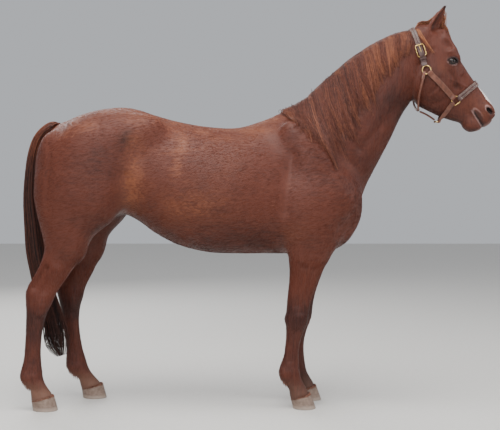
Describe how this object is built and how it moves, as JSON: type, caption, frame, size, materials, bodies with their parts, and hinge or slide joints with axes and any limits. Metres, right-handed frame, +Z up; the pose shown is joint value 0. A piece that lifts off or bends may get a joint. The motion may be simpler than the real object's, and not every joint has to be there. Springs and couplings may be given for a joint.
{
  "type": "horse",
  "caption": "Life-size still model of a chestnut saddle horse standing square in a stitched leather halter, for display on a floor.",
  "frame": {"origin": "on the floor, under the middle of the horse's box", "axes": "+X towards the muzzle, +Y towards the horse's left, +Z up"},
  "size_m": [2.377, 0.5802, 2.0022],
  "materials": {
    "coat": "short chestnut coat that lies flat, with a soft sheen",
    "mane_hair": "long red-brown hair",
    "tail_hair": "long dark hair with red-brown ends",
    "hoof_horn": "dusty horn with growth rings",
    "eye": "wet and dark",
    "halter_leather": "oiled strap leather, waxed edges",
    "halter_thread": "waxed linen stitching",
    "halter_brass": "handled brass, a little dull"
  },
  "bodies": {
    "root": {"foreleg_right_forearm_knee": "coat", "foreleg_right_cannon": "coat", "foreleg_right_hoof": "hoof_horn", "foreleg_left_forearm_knee": "coat", "foreleg_left_cannon": "coat", "foreleg_left_hoof": "hoof_horn", "hind_leg_right_thigh_hock": "coat", "hind_leg_right_cannon": "coat", "hind_leg_right_hoof": "hoof_horn", "hind_leg_left_thigh_hock": "coat", "hind_leg_left_cannon": "coat", "hind_leg_left_hoof": "hoof_horn", "head": "coat", "neck": "coat", "trunk": "coat", "eye_right": "eye", "ear_right": "coat", "eye_left": "eye", "ear_left": "coat", "mane": "mane_hair", "forelock": "mane_hair", "tail_dock": "tail_hair", "tail_middle": "tail_hair", "tail_end": "tail_hair", "halter_cheek_ring_right": "halter_brass", "halter_nose_square_right": "halter_brass", "halter_buckle_right": "halter_brass", "halter_cheek_strap_right": "halter_leather", "halter_chin_strap_right": "halter_leather", "halter_cheek_ring_left": "halter_brass", "halter_nose_square_left": "halter_brass", "halter_buckle_left": "halter_brass", "halter_cheek_strap_left": "halter_leather", "halter_chin_strap_left": "halter_leather", "halter_crown_strap": "halter_leather", "halter_noseband": "halter_leather", "halter_throat_strap": "halter_leather", "halter_jaw_strap": "halter_leather", "halter_chin_ring": "halter_brass"}
  },
  "joints": []
}
